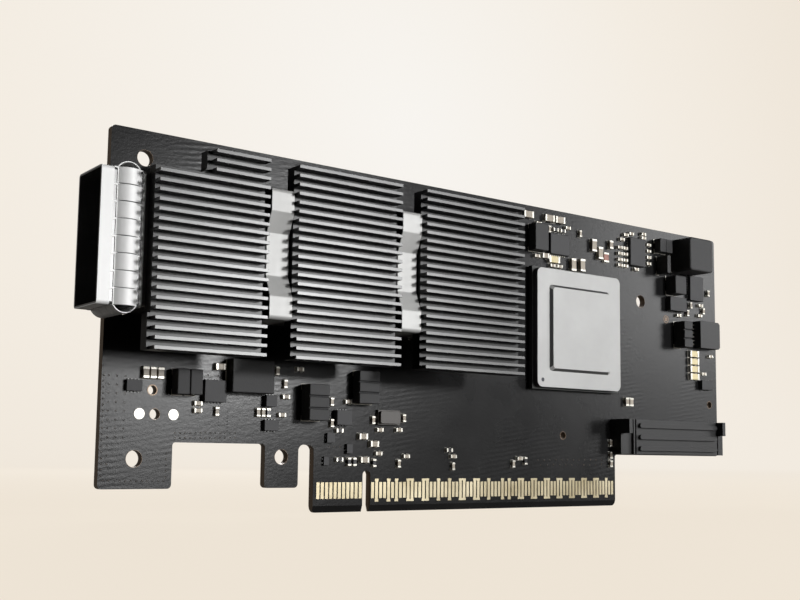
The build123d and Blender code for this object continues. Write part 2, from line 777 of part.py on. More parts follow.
with BuildPart() as aux_connector_housing:
    slab(front(), aux_left, aux_right, aux_low, aux_high, aux_ear_height)
    slab(front(), aux_body_left, aux_body_right, aux_low, aux_high, aux_body_height)
    slab(front(), aux_left, aux_left + aux_post_length, aux_high - aux_post_depth, aux_high, aux_post_height)
    slab(front(), aux_body_right - aux_post_length, aux_body_right, aux_high - aux_post_depth, aux_high,
         aux_post_height)
    with BuildSketch(front(aux_body_height)):
        with Locations(*[(aux_middle, level) for level in aux_ribs_at]):
            SlotOverall(aux_rib_length, aux_rib_width)
    extrude(amount=aux_rib_height)
    for side in (-1, 1):
        line_x = aux_middle + side * ((aux_body_right - aux_body_left) / 2 - aux_line_inset)
        slab(front(aux_body_height - aux_line_depth), line_x - aux_line_width / 2, line_x + aux_line_width / 2,
             aux_low, aux_high, 2 * aux_line_depth, Mode.SUBTRACT)
    slab(front(aux_mouth_at_height - aux_mouth_height / 2), aux_body_left + aux_mouth_wall,
         aux_body_right - aux_mouth_wall, aux_low, aux_low + aux_mouth_depth, aux_mouth_height, Mode.SUBTRACT)
    slab(front(aux_tongue_low), aux_body_left + aux_mouth_wall + aux_tongue_margin,
         aux_body_right - aux_mouth_wall - aux_tongue_margin,
         aux_low + aux_tongue_margin, aux_low + aux_mouth_depth, aux_tongue_height)
aux_connector_housing.part.label = "aux_connector_housing"
export_step(aux_connector_housing.part, "parts/aux_connector_housing.step")

with BuildPart() as aux_connector_contacts:
    contact_level = aux_low + aux_mouth_depth - aux_contact_length / 2
    contact_places = [(x, contact_level) for x in spread(aux_contact_count, aux_contact_pitch, aux_middle)]
    for height in (aux_tongue_low - aux_contact_thickness, aux_tongue_high):
        with BuildSketch(front(height)):
            with Locations(*contact_places):
                Rectangle(aux_contact_width, aux_contact_length)
        extrude(amount=aux_contact_thickness)
aux_connector_contacts.part.label = "aux_connector_contacts"
export_step(aux_connector_contacts.part, "parts/aux_connector_contacts.step")

# Side connector
side_left = side_connector_x - side_connector_length / 2
side_right = side_connector_x + side_connector_length / 2
side_inner_width = side_connector_width - 2 * side_wall

with BuildPart() as side_connector_housing:
    slab(front(), side_left, side_right, side_connector_z - side_connector_width / 2,
         side_connector_z + side_connector_width / 2, side_connector_height)
    outer_corners = side_connector_housing.edges().filter_by(Axis.Y).group_by(Axis.X)[-1]
    chamfer(outer_corners, side_corner)
    slab(front(side_wall), side_right - side_mouth_depth, side_right, side_connector_z - side_inner_width / 2,
         side_connector_z + side_inner_width / 2, side_connector_height - 2 * side_wall, Mode.SUBTRACT)
side_connector_housing.part.label = "side_connector_housing"
export_step(side_connector_housing.part, "parts/side_connector_housing.step")

with BuildPart() as side_connector_contacts:
    side_levels = spread(side_contact_count, side_contact_pitch, side_connector_z)
    blade_length = side_mouth_depth - side_wall
    with BuildSketch(front(side_wall)):
        with Locations(*[(side_right - side_mouth_depth + blade_length / 2, z) for z in side_levels]):
            Rectangle(blade_length, side_contact_width)
    extrude(amount=side_contact_thickness)
    with BuildSketch(front()):
        with Locations(*[(side_left - side_contact_reach / 2, z) for z in side_levels]):
            Rectangle(side_contact_reach, side_contact_width)
    extrude(amount=side_contact_thickness)
side_connector_contacts.part.label = "side_connector_contacts"
export_step(side_connector_contacts.part, "parts/side_connector_contacts.step")


# Ferrite inductors on pairs of metal feet
def inductor_body(place, radius):
    x, z, length, depth, height = place
    with BuildSketch(front(inductor_foot_height)) as block:
        with Locations((x, z)):
            RectangleRounded(length, depth, radius)
    extrude(block.sketch, amount=height - inductor_foot_height)


with BuildPart() as corner_inductor:
    inductor_body(corner_inductor_place, corner_inductor_radius)
    chamfer(corner_inductor.faces().sort_by(Axis.Y)[0].edges(), inductor_edge_radius)
corner_inductor.part.label = "corner_inductor"
export_step(corner_inductor.part, "parts/corner_inductor.step")

with BuildPart() as power_inductor_bodies:
    for place in power_inductors:
        inductor_body(place, inductor_edge_radius)
power_inductor_bodies.part.label = "power_inductor_bodies"
export_step(power_inductor_bodies.part, "parts/power_inductor_bodies.step")

with BuildPart() as three_cell_inductor_bodies:
    for place in three_cell_inductors:
        inductor_body(place, inductor_edge_radius)
        x, z, length, depth, height = place
        for groove in spread(cells_each - 1, depth / cells_each, z):
            slab(front(height - cell_groove_depth), x - length / 2, x + length / 2,
                 groove - cell_groove_width / 2, groove + cell_groove_width / 2,
                 2 * cell_groove_depth, Mode.SUBTRACT)
three_cell_inductor_bodies.part.label = "three_cell_inductor_bodies"
export_step(three_cell_inductor_bodies.part, "parts/three_cell_inductor_bodies.step")

with BuildPart() as inductor_feet:
    for x, z, length, depth, height in [corner_inductor_place] + power_inductors + three_cell_inductors:
        foot_offset = (length - inductor_foot_width) / 2 if length > depth else 0
        foot_rise = 0 if length > depth else (depth - inductor_foot_width) / 2
        foot_length = inductor_foot_width if length > depth else length - 2 * inductor_edge_radius
        foot_depth = depth - 2 * inductor_edge_radius if length > depth else inductor_foot_width
        with BuildSketch(front()):
            with Locations((x - foot_offset, z - foot_rise), (x + foot_offset, z + foot_rise)):
                Rectangle(foot_length, foot_depth)
        extrude(amount=inductor_foot_height)
inductor_feet.part.label = "inductor_feet"
export_step(inductor_feet.part, "parts/inductor_feet.step")


# Moulded chips and their leads
def package(plane, place):
    x, z, length, depth, height = place
    with BuildSketch(plane) as block:
        with Locations((x, z)):
            Rectangle(length, depth)
    extrude(block.sketch, amount=height)


def leads(plane, places, mirror_x=1):
    """A row of leads along each of a package's two longer sides."""
    along_x = []
    along_z = []
    for x, z, length, depth, height in places:
        count = max(2, int((max(length, depth) - lead_width) / lead_pitch))
        reach = (min(length, depth) + lead_reach) / 2
        steps = spread(count, lead_pitch)
        if length > depth:
            along_x += [(mirror_x * x + step, z + side * reach) for step in steps for side in (-1, 1)]
        else:
            along_z += [(mirror_x * x + side * reach, z + step) for step in steps for side in (-1, 1)]
    with BuildSketch(plane) as feet:
        if along_x:
            with Locations(*along_x):
                Rectangle(lead_width, lead_reach)
        if along_z:
            with Locations(*along_z):
                Rectangle(lead_reach, lead_width)
    extrude(feet.sketch, amount=lead_thickness)


with BuildPart() as flash_memory:
    package(front(), flash_memory_place)
    chamfer(flash_memory.faces().sort_by(Axis.Y)[0].edges(), package_bevel)
flash_memory.part.label = "flash_memory"
export_step(flash_memory.part, "parts/flash_memory.step")

with BuildPart() as flash_memory_leads:
    leads(front(), [flash_memory_place])
flash_memory_leads.part.label = "flash_memory_leads"
export_step(flash_memory_leads.part, "parts/flash_memory_leads.step")

with BuildPart() as voltage_controller:
    package(front(), controller_place)
    chamfer(voltage_controller.faces().sort_by(Axis.Y)[0].edges(), package_bevel)
voltage_controller.part.label = "voltage_controller"
export_step(voltage_controller.part, "parts/voltage_controller.step")

with BuildPart() as voltage_controller_leads:
    leads(front(), [controller_place])
voltage_controller_leads.part.label = "voltage_controller_leads"
export_step(voltage_controller_leads.part, "parts/voltage_controller_leads.step")

with BuildPart() as clock_oscillator_base:
    x, z, length, depth, height = oscillator_place
    package(front(), (x, z, length, depth, oscillator_base_height))
clock_oscillator_base.part.label = "clock_oscillator_base"
export_step(clock_oscillator_base.part, "parts/clock_oscillator_base.step")

with BuildPart() as clock_oscillator_lid:
    with BuildSketch(front(oscillator_base_height)):
        with Locations((x, z)):
            RectangleRounded(length - 2 * oscillator_lid_inset, depth - 2 * oscillator_lid_inset,
                             oscillator_lid_radius)
    extrude(amount=height - oscillator_base_height)
clock_oscillator_lid.part.label = "clock_oscillator_lid"
export_step(clock_oscillator_lid.part, "parts/clock_oscillator_lid.step")

with BuildPart() as small_chips:
    for place in small_chip_places:
        package(front(), place)
small_chips.part.label = "small_chips"
export_step(small_chips.part, "parts/small_chips.step")

with BuildPart() as small_chip_leads:
    leads(front(), small_chip_places)
small_chip_leads.part.label = "small_chip_leads"
export_step(small_chip_leads.part, "parts/small_chip_leads.step")

# Chip parts: each is a body between two end terminals
tantalum_column = [(tantalum_column_x, tantalum_column_low + step * tantalum_column_pitch)
                   for step in range(tantalum_column_count)]
capacitors = [(small_level, small_size, 0), (small_upright, small_size, 1),
              (middle_level, middle_size, 0), (middle_upright, middle_size, 1),
              (large_level, large_size, 0), (large_upright, large_size, 1)]
resistors = [(small_resistors_level, small_size, 0), (small_resistors_upright, small_size, 1)]
tantalums = [(tantalums_level + tantalum_column, tantalum_size, 0)]
fuses = [([fuse_at], fuse_size, 1)]


def end_part_bodies(plane, groups):
    for places, (length, width, height, terminal), upright in groups:
        with BuildSketch(plane) as bodies:
            with Locations(*places):
                Rectangle(length - 2 * terminal, width - 2 * body_inset, rotation=90 * upright)
        extrude(bodies.sketch, amount=height - body_inset)


def end_part_terminals(plane, groups):
    for places, (length, width, height, terminal), upright in groups:
        reach = (length - terminal) / 2
        offsets = [(0, -reach), (0, reach)] if upright else [(-reach, 0), (reach, 0)]
        with BuildSketch(plane) as ends:
            with Locations(*[(x + dx, z + dz) for x, z in places for dx, dz in offsets]):
                Rectangle(terminal, width, rotation=90 * upright)
        extrude(ends.sketch, amount=height)


with BuildPart() as capacitor_bodies:
    end_part_bodies(front(), capacitors)
capacitor_bodies.part.label = "capacitor_bodies"
export_step(capacitor_bodies.part, "parts/capacitor_bodies.step")

with BuildPart() as capacitor_terminals:
    end_part_terminals(front(), capacitors)
capacitor_terminals.part.label = "capacitor_terminals"
export_step(capacitor_terminals.part, "parts/capacitor_terminals.step")

with BuildPart() as resistor_bodies:
    end_part_bodies(front(), resistors)
resistor_bodies.part.label = "resistor_bodies"
export_step(resistor_bodies.part, "parts/resistor_bodies.step")

with BuildPart() as resistor_terminals:
    end_part_terminals(front(), resistors)
resistor_terminals.part.label = "resistor_terminals"
export_step(resistor_terminals.part, "parts/resistor_terminals.step")

with BuildPart() as tantalum_bodies:
    end_part_bodies(front(), tantalums)
tantalum_bodies.part.label = "tantalum_bodies"
export_step(tantalum_bodies.part, "parts/tantalum_bodies.step")

with BuildPart() as tantalum_terminals:
    end_part_terminals(front(), tantalums)
tantalum_terminals.part.label = "tantalum_terminals"
export_step(tantalum_terminals.part, "parts/tantalum_terminals.step")

with BuildPart() as board_fuse_body:
    end_part_bodies(front(), fuses)
board_fuse_body.part.label = "board_fuse_body"
export_step(board_fuse_body.part, "parts/board_fuse_body.step")

with BuildPart() as board_fuse_terminals:
    end_part_terminals(front(), fuses)
board_fuse_terminals.part.label = "board_fuse_terminals"
export_step(board_fuse_terminals.part, "parts/board_fuse_terminals.step")

# Back of the board
back_field = [(-chip_x + dx, chip_z + dz) for dx in spread(back_columns, back_column_pitch)
              for dz in spread(back_rows, back_row_pitch)]
lane_capacitors = [(-(lane_capacitor_from_key + step * lane_capacitor_pitch), lane_capacitor_level)
                   for step in range(lane_capacitor_count)]
back_capacitors = [(back_field, small_size, 0), (lane_capacitors, small_size, 1)]

with BuildPart() as back_capacitor_bodies:
    end_part_bodies(back(), back_capacitors)
back_capacitor_bodies.part.label = "back_capacitor_bodies"
export_step(back_capacitor_bodies.part, "parts/back_capacitor_bodies.step")

with BuildPart() as back_capacitor_terminals:
    end_part_terminals(back(), back_capacitors)
back_capacitor_terminals.part.label = "back_capacitor_terminals"
export_step(back_capacitor_terminals.part, "parts/back_capacitor_terminals.step")

with BuildPart() as back_chips:
    for x, z, length, depth, height in back_chip_places:
        package(back(), (-x, z, length, depth, height))
back_chips.part.label = "back_chips"
export_step(back_chips.part, "parts/back_chips.step")

with BuildPart() as back_chip_leads:
    leads(back(), back_chip_places, -1)
back_chip_leads.part.label = "back_chip_leads"
export_step(back_chip_leads.part, "parts/back_chip_leads.step")
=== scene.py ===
import bpy
import bmesh
import math
import random
import json
from mathutils import Matrix, Vector


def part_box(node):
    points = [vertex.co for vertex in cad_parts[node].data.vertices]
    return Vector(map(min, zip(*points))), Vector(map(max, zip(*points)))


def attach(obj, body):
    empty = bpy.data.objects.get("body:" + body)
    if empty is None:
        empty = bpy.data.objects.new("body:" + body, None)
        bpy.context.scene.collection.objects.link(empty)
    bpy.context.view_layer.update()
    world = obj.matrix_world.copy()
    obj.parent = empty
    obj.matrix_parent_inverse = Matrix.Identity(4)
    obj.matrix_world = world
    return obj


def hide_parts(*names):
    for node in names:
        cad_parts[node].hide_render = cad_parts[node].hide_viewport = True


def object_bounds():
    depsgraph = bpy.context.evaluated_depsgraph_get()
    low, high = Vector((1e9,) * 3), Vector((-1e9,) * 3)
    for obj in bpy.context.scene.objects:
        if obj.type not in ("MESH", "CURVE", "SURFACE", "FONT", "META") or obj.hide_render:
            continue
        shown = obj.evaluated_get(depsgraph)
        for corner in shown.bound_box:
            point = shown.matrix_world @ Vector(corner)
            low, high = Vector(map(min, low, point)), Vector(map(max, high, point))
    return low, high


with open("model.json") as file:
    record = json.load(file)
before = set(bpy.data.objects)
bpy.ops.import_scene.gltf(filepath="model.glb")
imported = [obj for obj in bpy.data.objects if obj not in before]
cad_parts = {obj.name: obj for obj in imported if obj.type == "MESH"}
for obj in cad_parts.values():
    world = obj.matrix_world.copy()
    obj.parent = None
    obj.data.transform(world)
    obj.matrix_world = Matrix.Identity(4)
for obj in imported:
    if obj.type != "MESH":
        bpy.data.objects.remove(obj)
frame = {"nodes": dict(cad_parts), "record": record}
cadLow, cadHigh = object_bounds()
scene = bpy.context.scene
mm = 0.001

# Where the card's faces and edges are, in metres, read from the CAD model
boardLow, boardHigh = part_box("board")
boardFront = boardLow.y
boardBack = boardHigh.y


def report(stage):
    print("stage:", stage)


# Camera: it stands low at the left of the card and looks along it
cameraSet = {
    "place": (-129.4, -185.45, 11.25),  # mm
    "turn": (96.202, -0.698, -36.862),  # degrees
    "lens": 50.15,                      # mm
    "sensor": 36,                       # mm across
    "shift": (-0.0036, 0.043),
    "clip": (0.005, 20),                # metres
}


def makeCamera(s):
    data = bpy.data.cameras.new("camera")
    data.lens = s["lens"]
    data.sensor_width = s["sensor"]
    data.shift_x, data.shift_y = s["shift"]
    data.clip_start, data.clip_end = s["clip"]
    camera = bpy.data.objects.new("camera", data)
    camera.location = [v * mm for v in s["place"]]
    camera.rotation_euler = [math.radians(a) for a in s["turn"]]
    scene.collection.objects.link(camera)
    scene.camera = camera


makeCamera(cameraSet)
report("camera")


# Node helpers for the materials
noiseRoughness = 0.6
squareLimit = 0.7  # faces whose normal points less than this across the board count as square to it


def newMaterial(name):
    material = bpy.data.materials.new(name)
    material.use_nodes = True
    nodes = material.node_tree.nodes
    return material, nodes, material.node_tree.links, nodes["Principled BSDF"]


def objectPoint(nodes, links, scale=(1, 1, 1), turn=(0, 0, 0)):
    where = nodes.new("ShaderNodeTexCoord")
    mapping = nodes.new("ShaderNodeMapping")
    mapping.inputs["Scale"].default_value = scale
    mapping.inputs["Rotation"].default_value = turn
    links.new(where.outputs["Object"], mapping.inputs["Vector"])
    return mapping.outputs["Vector"]


def noise(nodes, links, vector, scale, detail=4):
    texture = nodes.new("ShaderNodeTexNoise")
    texture.inputs["Scale"].default_value = scale
    texture.inputs["Detail"].default_value = detail
    texture.inputs["Roughness"].default_value = noiseRoughness
    links.new(vector, texture.inputs["Vector"])
    return texture.outputs["Fac"]


def ramp(nodes, links, value, stops):
    node = nodes.new("ShaderNodeValToRGB")
    elements = node.color_ramp.elements
    elements[0].position, elements[0].color = stops[0][0], (*stops[0][1], 1)
    elements[1].position, elements[1].color = stops[-1][0], (*stops[-1][1], 1)
    for position, colour in stops[1:-1]:
        elements.new(position).color = (*colour, 1)
    links.new(value, node.inputs["Fac"])
    return node.outputs["Color"]


def twoTone(nodes, links, value, span, first, last):
    return ramp(nodes, links, value, [(span[0], first), (span[1], last)])


def spread(nodes, links, value, low, high):
    node = nodes.new("ShaderNodeMapRange")
    node.inputs["To Min"].default_value = low
    node.inputs["To Max"].default_value = high
    links.new(value, node.inputs["Value"])
    return node.outputs["Result"]


def bump(nodes, links, shader, height, strength, distance):
    node = nodes.new("ShaderNodeBump")
    node.inputs["Strength"].default_value = strength
    node.inputs["Distance"].default_value = distance
    links.new(height, node.inputs["Height"])
    links.new(node.outputs["Normal"], shader.inputs["Normal"])


def mathNode(nodes, links, kind, a, b=None):
    node = nodes.new("ShaderNodeMath")
    node.operation = kind
    for socket, value in zip(node.inputs, (a, b)):
        if value is None:
            continue
        if isinstance(value, (int, float)):
            socket.default_value = value
        else:
            links.new(value, socket)
    return node.outputs[0]


def mixColour(nodes, links, factor, a, b):
    # Of the node's sockets, 6 and 7 take the two colours and output 2 gives their mix
    node = nodes.new("ShaderNodeMix")
    node.data_type = "RGBA"
    links.new(factor, node.inputs["Factor"])
    for socket, value in ((node.inputs[6], a), (node.inputs[7], b)):
        if isinstance(value, tuple):
            socket.default_value = (*value, 1)
        else:
            links.new(value, socket)
    return node.outputs[2]


def sidewaysMask(nodes, links):
    # 1 on faces that stand square to the board, 0 on those that lie with it
    geometry = nodes.new("ShaderNodeNewGeometry")
    split = nodes.new("ShaderNodeSeparateXYZ")
    links.new(geometry.outputs["True Normal"], split.inputs[0])
    across = mathNode(nodes, links, "ABSOLUTE", split.outputs[1])
    return mathNode(nodes, links, "LESS_THAN", across, squareLimit)


# Satin lacquer over the laminate, with the copper's lines showing faintly through it
waveBands = 6.3  # bands and gaps to the metre that the wave texture draws at scale 1
lacquerSet = {
    "field": (0.007, 0.007, 0.0073),
    "mottle": (0.012, 0.012, 0.0122),
    "edge": (0.2, 0.145, 0.1),
    "clouds": 60,                  # noise scales
    "grain": 2500,
    "patches": 45,
    "weave": 900,
    "weaveStretch": (1, 1, 1.8),
    "mottleSpan": (0.35, 0.7),     # cloud values between which the field turns to the mottle
    "patchSpan": (0.5, 0.62),      # patch values between which the copper's lines come in
    "line": 0.5,                   # mm across a copper line, and across the gap beside it
    "lineTurn": 8,                 # degrees
    "lineWaver": 2.5,
    "lineDetail": 1,
    "lineDetailScale": 0.35,
    "shares": (0.22, 0.2, 0.55),   # of the lines, the grain and the weave in the relief
    "relief": 0.4,
    "depth": 0.09,                 # mm
    "rough": (0.22, 0.3),
    "specular": 0.22,
}


def boardMaterial(s):
    material, nodes, links, shader = newMaterial("board lacquer")
    point = objectPoint(nodes, links)
    cloud = noise(nodes, links, point, s["clouds"])
    grain = noise(nodes, links, point, s["grain"], detail=2)
    field = twoTone(nodes, links, cloud, s["mottleSpan"], s["field"], s["mottle"])
    lines = nodes.new("ShaderNodeTexWave")
    lines.wave_type = "BANDS"
    lines.bands_direction = "Z"
    lines.inputs["Scale"].default_value = 1 / (s["line"] * mm) / waveBands
    lines.inputs["Distortion"].default_value = s["lineWaver"]
    lines.inputs["Detail"].default_value = s["lineDetail"]
    lines.inputs["Detail Scale"].default_value = s["lineDetailScale"]
    links.new(objectPoint(nodes, links, turn=(0, math.radians(s["lineTurn"]), 0)), lines.inputs["Vector"])
    patches = noise(nodes, links, point, s["patches"], detail=1)
    patch = twoTone(nodes, links, patches, s["patchSpan"], (0, 0, 0), (1, 1, 1))
    traces = mathNode(nodes, links, "MULTIPLY", lines.outputs["Fac"], patch)
    colour = mixColour(nodes, links, sidewaysMask(nodes, links), field, s["edge"])
    links.new(colour, shader.inputs["Base Color"])
    links.new(spread(nodes, links, cloud, *s["rough"]), shader.inputs["Roughness"])
    weave = noise(nodes, links, objectPoint(nodes, links, s["weaveStretch"]), s["weave"], detail=3)
    traceShare, grainShare, weaveShare = s["shares"]
    height = mathNode(nodes, links, "ADD", mathNode(nodes, links, "MULTIPLY", traces, traceShare),
                      mathNode(nodes, links, "MULTIPLY", grain, grainShare))
    height = mathNode(nodes, links, "ADD", height, mathNode(nodes, links, "MULTIPLY", weave, weaveShare))
    bump(nodes, links, shader, height, s["relief"], s["depth"] * mm)
    shader.inputs["Specular IOR Level"].default_value = s["specular"]
    return material


# Plain metals: rolled sheet, milled aluminium, plating. The grain is long where its number is small.
# On the sink a painted shade darkens the colour behind the fins' front over the tip span, in mm behind the
# front, and on the lid a painted shade tone darkens the faces square to the board
toneSpan = (0.3, 0.7)  # cloud values between which the dark tone turns to the light one
metalClouds = 120
metalDepth = 0.05      # mm of relief
metalSet = {
    "cage steel": {"light": (0.3, 0.3, 0.3), "dark": (0.2, 0.2, 0.2), "rough": (0.28, 0.42),
                   "grain": (500, 20, 20), "metal": 0.9, "bump": 0.08},
    "gasket steel": {"light": (0.97, 0.97, 0.96), "dark": (0.94, 0.94, 0.93), "rough": (0.45, 0.55),
                     "grain": (300, 30, 30), "metal": 0.08, "bump": 0.05},
    "clip steel": {"light": (0.5, 0.5, 0.49), "dark": (0.43, 0.43, 0.42), "rough": (0.42, 0.54),
                   "grain": (900, 60, 60), "metal": 0.15, "bump": 0.1},
    "sink aluminium": {"light": (0.09, 0.09, 0.09), "dark": (0.075, 0.075, 0.075), "rough": (0.34, 0.42),
                       "grain": (14, 500, 500), "metal": 0.95, "bump": 0.12,
                       # painted shade: the fins' colour turns dark behind their front edge, standing in for
                       # the shade between the fins
                       "tip": (0.1, 0.8), "dull": (0.03, 0.03, 0.03)},
    "lid plating": {"light": (0.36, 0.36, 0.355), "dark": (0.33, 0.33, 0.325), "rough": (0.45, 0.55),
                    # painted shade: a dark tone on the lid's faces square to the board, standing in for the
                    # shade on its side walls
                    "grain": (350, 350, 350), "metal": 0.3, "bump": 0.12, "walls": (0.07, 0.07, 0.07)},
    "tin plating": {"light": (0.66, 0.64, 0.58), "dark": (0.48, 0.46, 0.41), "rough": (0.3, 0.5),
                    "grain": (900, 900, 900), "metal": 0.6, "bump": 0.3},
    "dull tin": {"light": (0.16, 0.16, 0.155), "dark": (0.1, 0.1, 0.098), "rough": (0.4, 0.55),
                 "grain": (900, 900, 900), "metal": 0.5, "bump": 0.2},
    "hole copper": {"light": (0.13, 0.09, 0.06), "dark": (0.08, 0.055, 0.038), "rough": (0.3, 0.45),
                    "grain": (400, 400, 400), "metal": 0.7, "bump": 0.1},
    "contact gold": {"light": (0.62, 0.55, 0.38), "dark": (0.36, 0.3, 0.18), "rough": (0.3, 0.45),
                     "grain": (300, 300, 60), "metal": 0.55, "bump": 0.1},
}


def metalMaterial(name):
    s = metalSet[name]
    material, nodes, links, shader = newMaterial(name)
    streaks = noise(nodes, links, objectPoint(nodes, links, s["grain"]), 1, detail=5)
    clouds = noise(nodes, links, objectPoint(nodes, links), metalClouds, detail=3)
    colour = twoTone(nodes, links, clouds, toneSpan, s["dark"], s["light"])
    # Painted shade: the colour darkens with depth behind the front, standing in for the shade in the grooves
    # between fins
    if "dull" in s:
        split = nodes.new("ShaderNodeSeparateXYZ")
        links.new(objectPoint(nodes, links), split.inputs[0])
        depth = nodes.new("ShaderNodeMapRange")
        depth.inputs["From Min"].default_value = cadLow.y + s["tip"][0] * mm
        depth.inputs["From Max"].default_value = cadLow.y + s["tip"][1] * mm
        links.new(split.outputs[1], depth.inputs["Value"])
        colour = mixColour(nodes, links, depth.outputs["Result"], colour, s["dull"])
    # Painted shade: faces square to the board take a darker tone, standing in for the shade on the side
    # walls
    if "walls" in s:
        colour = mixColour(nodes, links, sidewaysMask(nodes, links), colour, s["walls"])
    links.new(colour, shader.inputs["Base Color"])
    links.new(spread(nodes, links, streaks, *s["rough"]), shader.inputs["Roughness"])
    bump(nodes, links, shader, streaks, s["bump"], metalDepth * mm)
    shader.inputs["Metallic"].default_value = s["metal"]
    return material


# Moulded, fired and pressed bodies
mouldedClouds = 180
mouldedDepth = 0.03  # mm of relief
mouldedSpecular = 0.35
mouldedSet = {
    "connector plastic": {"light": (0.022, 0.022, 0.022), "dark": (0.016, 0.016, 0.017),
                          "rough": (0.42, 0.55), "grain": 1500, "bump": 0.25},
    "moulded epoxy": {"light": (0.036, 0.036, 0.038), "dark": (0.027, 0.027, 0.029), "rough": (0.5, 0.62),
                      "grain": 3000, "bump": 0.35},
    "ferrite": {"light": (0.038, 0.038, 0.039), "dark": (0.027, 0.027, 0.028), "rough": (0.55, 0.7),
                "grain": 2200, "bump": 0.6},
    "fired ceramic": {"light": (0.42, 0.37, 0.3), "dark": (0.28, 0.24, 0.19), "rough": (0.35, 0.5),
                      "grain": 3000, "bump": 0.15},
    "resistor glaze": {"light": (0.05, 0.05, 0.055), "dark": (0.03, 0.03, 0.032), "rough": (0.2, 0.35),
                       "grain": 3000, "bump": 0.1},
    "yellow resin": {"light": (0.76, 0.66, 0.4), "dark": (0.62, 0.52, 0.28), "rough": (0.4, 0.55),
                     "grain": 2500, "bump": 0.2},
    "red ceramic": {"light": (0.36, 0.16, 0.12), "dark": (0.24, 0.1, 0.08), "rough": (0.35, 0.5),
                    "grain": 2500, "bump": 0.15},
    "chip laminate": {"light": (0.014, 0.016, 0.013), "dark": (0.01, 0.011, 0.009), "rough": (0.4, 0.5),
                      "grain": 1800, "bump": 0.15},
    "silicon": {"light": (0.12, 0.12, 0.14), "dark": (0.09, 0.09, 0.1), "rough": (0.1, 0.18),
                "grain": 600, "bump": 0.02},
    "smoked lid": {"light": (0.07, 0.062, 0.055), "dark": (0.05, 0.045, 0.04), "rough": (0.3, 0.45),
                   "grain": 1200, "bump": 0.1},
    "thermal paste": {"light": (0.6, 0.6, 0.6), "dark": (0.5, 0.5, 0.5), "rough": (0.6, 0.75),
                      "grain": 900, "bump": 0.4},
}


def mouldedMaterial(name):
    s = mouldedSet[name]
    material, nodes, links, shader = newMaterial(name)
    point = objectPoint(nodes, links)
    clouds = noise(nodes, links, point, mouldedClouds, detail=3)
    grain = noise(nodes, links, point, s["grain"], detail=2)
    colour = twoTone(nodes, links, clouds, toneSpan, s["dark"], s["light"])
    links.new(colour, shader.inputs["Base Color"])
    links.new(spread(nodes, links, clouds, *s["rough"]), shader.inputs["Roughness"])
    bump(nodes, links, shader, grain, s["bump"], mouldedDepth * mm)
    shader.inputs["Specular IOR Level"].default_value = mouldedSpecular
    return material


# The finish of each material slot in the record, and of the nodes that look different from their slot
finishOfSlot = {
    "cage_steel": metalMaterial("cage steel"),
    "gasket_steel": metalMaterial("gasket steel"),
    "clip_steel": metalMaterial("clip steel"),
    "sink_aluminium": metalMaterial("sink aluminium"),
    "lid_metal": metalMaterial("lid plating"),
    "tin_ends": metalMaterial("tin plating"),
    "gold_contact": metalMaterial("contact gold"),
    "connector_plastic": mouldedMaterial("connector plastic"),
    "moulded_epoxy": mouldedMaterial("moulded epoxy"),
    "ferrite": mouldedMaterial("ferrite"),
    "ceramic_body": mouldedMaterial("fired ceramic"),
    "tantalum_resin": mouldedMaterial("yellow resin"),
    "fuse_ceramic": mouldedMaterial("red ceramic"),
    "chip_laminate": mouldedMaterial("chip laminate"),
    "silicon": mouldedMaterial("silicon"),
    "thermal_compound": mouldedMaterial("thermal paste"),
    "solder_mask": boardMaterial(lacquerSet),
}
finishOfNode = {
    "resistor_bodies": mouldedMaterial("resistor glaze"),
    "clock_oscillator_lid": mouldedMaterial("smoked lid"),
    "clock_oscillator_base": mouldedMaterial("smoked lid"),
    "small_chip_leads": metalMaterial("dull tin"),
}

slotOfNode = {entry["node"]: entry["material_slot"] for entry in frame["record"]["subparts"]}


def finishFor(nodeName):
    return finishOfNode.get(nodeName, finishOfSlot[slotOfNode[nodeName]])


for nodeName in slotOfNode:
    node = frame["nodes"][nodeName]
    node.data.materials.clear()
    node.data.materials.append(finishFor(nodeName))
report("materials")


# Pieces added to the CAD model. Each keeps its place in its mesh and rides on the card
mergeReach = 0.001  # mm


def addPiece(name, shape, finish, smooth=False):
    mesh = bpy.data.meshes.new(name)
    shape.to_mesh(mesh)
    shape.free()
    piece = bpy.data.objects.new(name, mesh)
    piece.data.materials.append(finish)
    scene.collection.objects.link(piece)
    if smooth:
        mesh.shade_smooth()
    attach(piece, "root")
    return piece


def cleanCopy(nodeName):
    node = frame["nodes"][nodeName]
    shape = bmesh.new()
    shape.from_mesh(node.data)
    bmesh.ops.transform(shape, matrix=node.matrix_world, verts=shape.verts)
    bmesh.ops.remove_doubles(shape, verts=shape.verts, dist=mergeReach * mm)
    return shape


def islandBoxes(nodeName):
    shape = cleanCopy(nodeName)
    left = set(shape.verts)
    boxes = []
    while left:
        group = [left.pop()]
        for vert in group:
            for edge in vert.link_edges:
                other = edge.other_vert(vert)
                if other in left:
                    left.discard(other)
                    group.append(other)
        boxes.append((Vector([min(v.co[i] for v in group) for i in range(3)]),
                      Vector([max(v.co[i] for v in group) for i in range(3)])))
    shape.free()
    return sorted(boxes, key=lambda b: tuple(b[0]))


